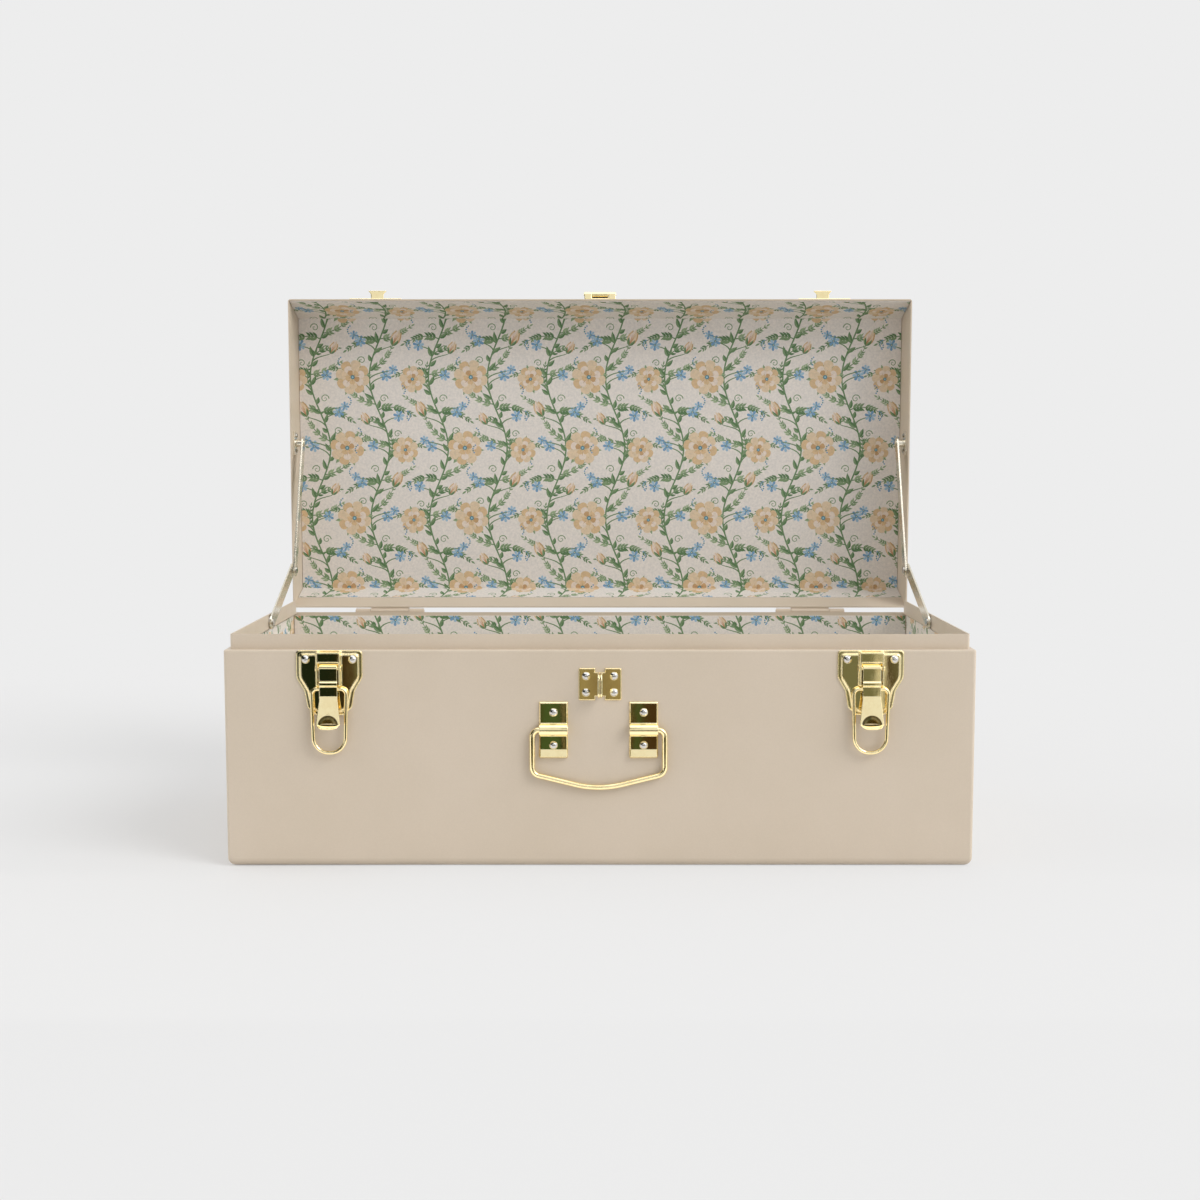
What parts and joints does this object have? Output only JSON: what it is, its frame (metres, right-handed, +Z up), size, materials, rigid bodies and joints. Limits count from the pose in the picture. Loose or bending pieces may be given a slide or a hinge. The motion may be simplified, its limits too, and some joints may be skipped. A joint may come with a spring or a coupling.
{
  "type": "storage trunk",
  "caption": "Flat-topped painted steel storage trunk with a lined interior, hinged lid on folding stays, draw latches, a hasp and staple, and a drop carrying handle.",
  "frame": {"origin": "centre of the flat base, on the floor", "axes": "+X along the trunk's length to the right seen from the front, +Y from the front with the latches to the back with the hinges, +Z up; the lid stands open at rest"},
  "size_m": [0.533, 0.3272, 0.4318],
  "materials": {
    "cream_paint": "satin cream paint on sheet steel",
    "hinge_paint": "satin cream paint",
    "printed_lining": "matt printed lining paper with a sprig and blossom pattern",
    "brass": "polished, slightly aged",
    "nickel": "polished nickel plate",
    "plated_steel": "nickel plate, lightly brushed"
  },
  "bodies": {
    "trunk": {"body_lining_back": "printed_lining", "body_lining_bottom": "printed_lining", "body_lining_front": "printed_lining", "body_lining_left": "printed_lining", "body_lining_right": "printed_lining", "body_shell": "cream_paint", "handle_bracket_left": "brass", "handle_bracket_right": "brass", "handle_rivets": "nickel", "hinge_body_leaf_left": "hinge_paint", "hinge_body_leaf_right": "hinge_paint", "hinge_pin_left": "hinge_paint", "hinge_pin_right": "hinge_paint", "hinge_rivets_body": "nickel", "latch_pin_left": "brass", "latch_pin_right": "brass", "latch_plate_left": "brass", "latch_plate_right": "brass", "latch_rivets": "nickel", "padlock_staple": "brass", "staple_rivets": "nickel", "stay_body_pivot_left": "nickel", "stay_body_pivot_right": "nickel"},
    "lid": {"hasp_leaf": "brass", "hasp_pin": "brass", "hasp_rivets": "nickel", "hinge_lid_leaf_left": "hinge_paint", "hinge_lid_leaf_right": "hinge_paint", "hinge_rivets_lid": "nickel", "lid_lining_front": "printed_lining", "lid_lining_hinge_side": "printed_lining", "lid_lining_panel": "printed_lining", "lid_shell": "cream_paint", "stay_bracket_rivets": "nickel", "stay_lid_bracket_left": "plated_steel", "stay_lid_bracket_right": "plated_steel", "strike_left": "brass", "strike_right": "brass", "strike_rivets": "nickel"},
    "handle": {"handle_bail": "brass"},
    "hasp_strap": {"hasp_strap": "brass"},
    "latch_lever_left": {"latch_lever_left": "brass"},
    "latch_loop_left": {"latch_loop_left": "brass"},
    "stay_lower_left": {"stay_lower_link_left": "plated_steel", "stay_elbow_tail_left": "nickel"},
    "stay_upper_left": {"stay_upper_link_left": "plated_steel", "stay_elbow_rivet_left": "nickel"},
    "latch_lever_right": {"latch_lever_right": "brass"},
    "latch_loop_right": {"latch_loop_right": "brass"},
    "stay_lower_right": {"stay_lower_link_right": "plated_steel", "stay_elbow_tail_right": "nickel"},
    "stay_upper_right": {"stay_upper_link_right": "plated_steel", "stay_elbow_rivet_right": "nickel"}
  },
  "joints": [
    {"name": "lid_hinge", "type": "hinge", "parent": "trunk", "child": "lid", "pos_m": [0, 0.1357, 0.1564], "axis": [1, 0, 0], "range_deg": [0, 90]},
    {"name": "handle", "type": "hinge", "parent": "trunk", "child": "handle", "pos_m": [-0.001, -0.1354, 0.0994], "axis": [-1, 0, 0], "range_deg": [0, 100]},
    {"name": "hasp_strap", "type": "hinge", "parent": "lid", "child": "hasp_strap", "pos_m": [0, 0.1397, 0.4276], "axis": [1, 0, 0], "range_deg": [0, 195.42]},
    {"name": "latch_lever_left", "type": "hinge", "parent": "trunk", "child": "latch_lever_left", "pos_m": [-0.1915, -0.1372, 0.1435], "axis": [-1, 0, 0], "range_deg": [0, 105]},
    {"name": "latch_loop_left", "type": "hinge", "parent": "latch_lever_left", "child": "latch_loop_left", "pos_m": [-0.1915, -0.1367, 0.1289], "axis": [1, 0, 0], "range_deg": [-180, 0]},
    {"name": "stay_lower_left", "type": "hinge", "parent": "trunk", "child": "stay_lower_left", "pos_m": [-0.26, 0.0117, 0.1604], "axis": [1, 0, 0], "range_deg": [-18.3, 0]},
    {"name": "stay_upper_left", "type": "hinge", "parent": "lid", "child": "stay_upper_left", "pos_m": [-0.2574, 0.1497, 0.3014], "axis": [1, 0, 0], "range_deg": [0, 21.9]},
    {"name": "latch_lever_right", "type": "hinge", "parent": "trunk", "child": "latch_lever_right", "pos_m": [0.1915, -0.1372, 0.1435], "axis": [-1, 0, 0], "range_deg": [0, 105]},
    {"name": "latch_loop_right", "type": "hinge", "parent": "latch_lever_right", "child": "latch_loop_right", "pos_m": [0.1915, -0.1367, 0.1289], "axis": [1, 0, 0], "range_deg": [-180, 0]},
    {"name": "stay_lower_right", "type": "hinge", "parent": "trunk", "child": "stay_lower_right", "pos_m": [0.26, 0.0117, 0.1604], "axis": [1, 0, 0], "range_deg": [-18.3, 0]},
    {"name": "stay_upper_right", "type": "hinge", "parent": "lid", "child": "stay_upper_right", "pos_m": [0.2574, 0.1497, 0.3014], "axis": [1, 0, 0], "range_deg": [0, 21.9]}
  ],
  "couplings": [
    {"joint": "stay_lower_left", "follows": "lid_hinge", "ratio": -0.20237},
    {"joint": "stay_upper_left", "follows": "lid_hinge", "ratio": 0.24299},
    {"joint": "stay_lower_right", "follows": "lid_hinge", "ratio": -0.20237},
    {"joint": "stay_upper_right", "follows": "lid_hinge", "ratio": 0.24299}
  ]
}
